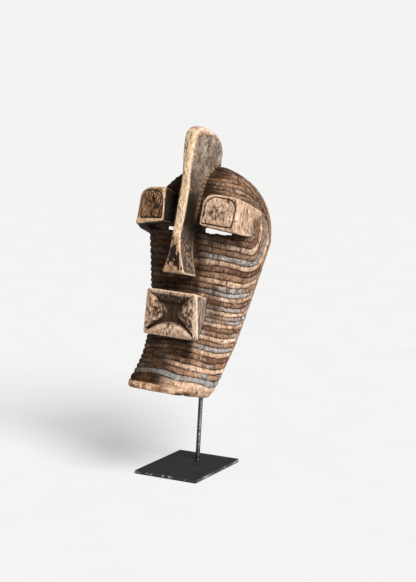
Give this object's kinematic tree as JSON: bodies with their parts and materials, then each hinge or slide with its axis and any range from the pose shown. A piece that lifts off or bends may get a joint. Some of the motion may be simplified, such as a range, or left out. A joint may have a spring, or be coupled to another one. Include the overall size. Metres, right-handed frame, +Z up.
{
  "type": "carved mask on display stand",
  "caption": "Carved wooden mask with grooved face, tall nose crest, block eyes and square mouth, resting on a steel rod stand that it swivels on and lifts off.",
  "frame": {"origin": "centre of the felt's underside, where the stand rests", "axes": "+Z up, -Y the way the face looks, +X the mask's own left"},
  "size_m": [0.1758, 0.2007, 0.4932],
  "materials": {
    "felt": "black pressed felt",
    "stand_steel": "satin black paint",
    "cap_vinyl": "soft off-white vinyl",
    "striated_wood": "grooved wood, worn grey-white, tan and dark brown pigment",
    "crest_wood": "worn wood with dark pigment, tan at the rubbed edges",
    "eye_wood": "tan wood with dark pigment flecks",
    "mouth_wood": "tan wood with dark pigment flecks",
    "batten_wood": "plain sawn batten",
    "screw_steel": "plain steel"
  },
  "bodies": {
    "stand": {"base_felt": "felt", "base_plate": "stand_steel", "post": "stand_steel", "post_weld": "stand_steel"},
    "cap": {"post_cap": "cap_vinyl"},
    "mask": {"face_shell": "striated_wood", "nose_crest": "crest_wood", "left_eye_block": "eye_wood", "right_eye_block": "eye_wood", "mouth_block": "mouth_wood", "crossbar": "batten_wood", "crossbar_screws": "screw_steel"}
  },
  "joints": [
    {"name": "mask_swivel", "type": "hinge", "parent": "stand", "child": "cap", "pos_m": [0.01343, 0.03875, 0.31222], "axis": [0.0436, 0.0349, 0.9984], "continuous": true},
    {"name": "mask_lift", "type": "slide", "parent": "cap", "child": "mask", "axis": [0.0436, 0.0349, 0.9984], "range_m": [0, 0.3]}
  ]
}
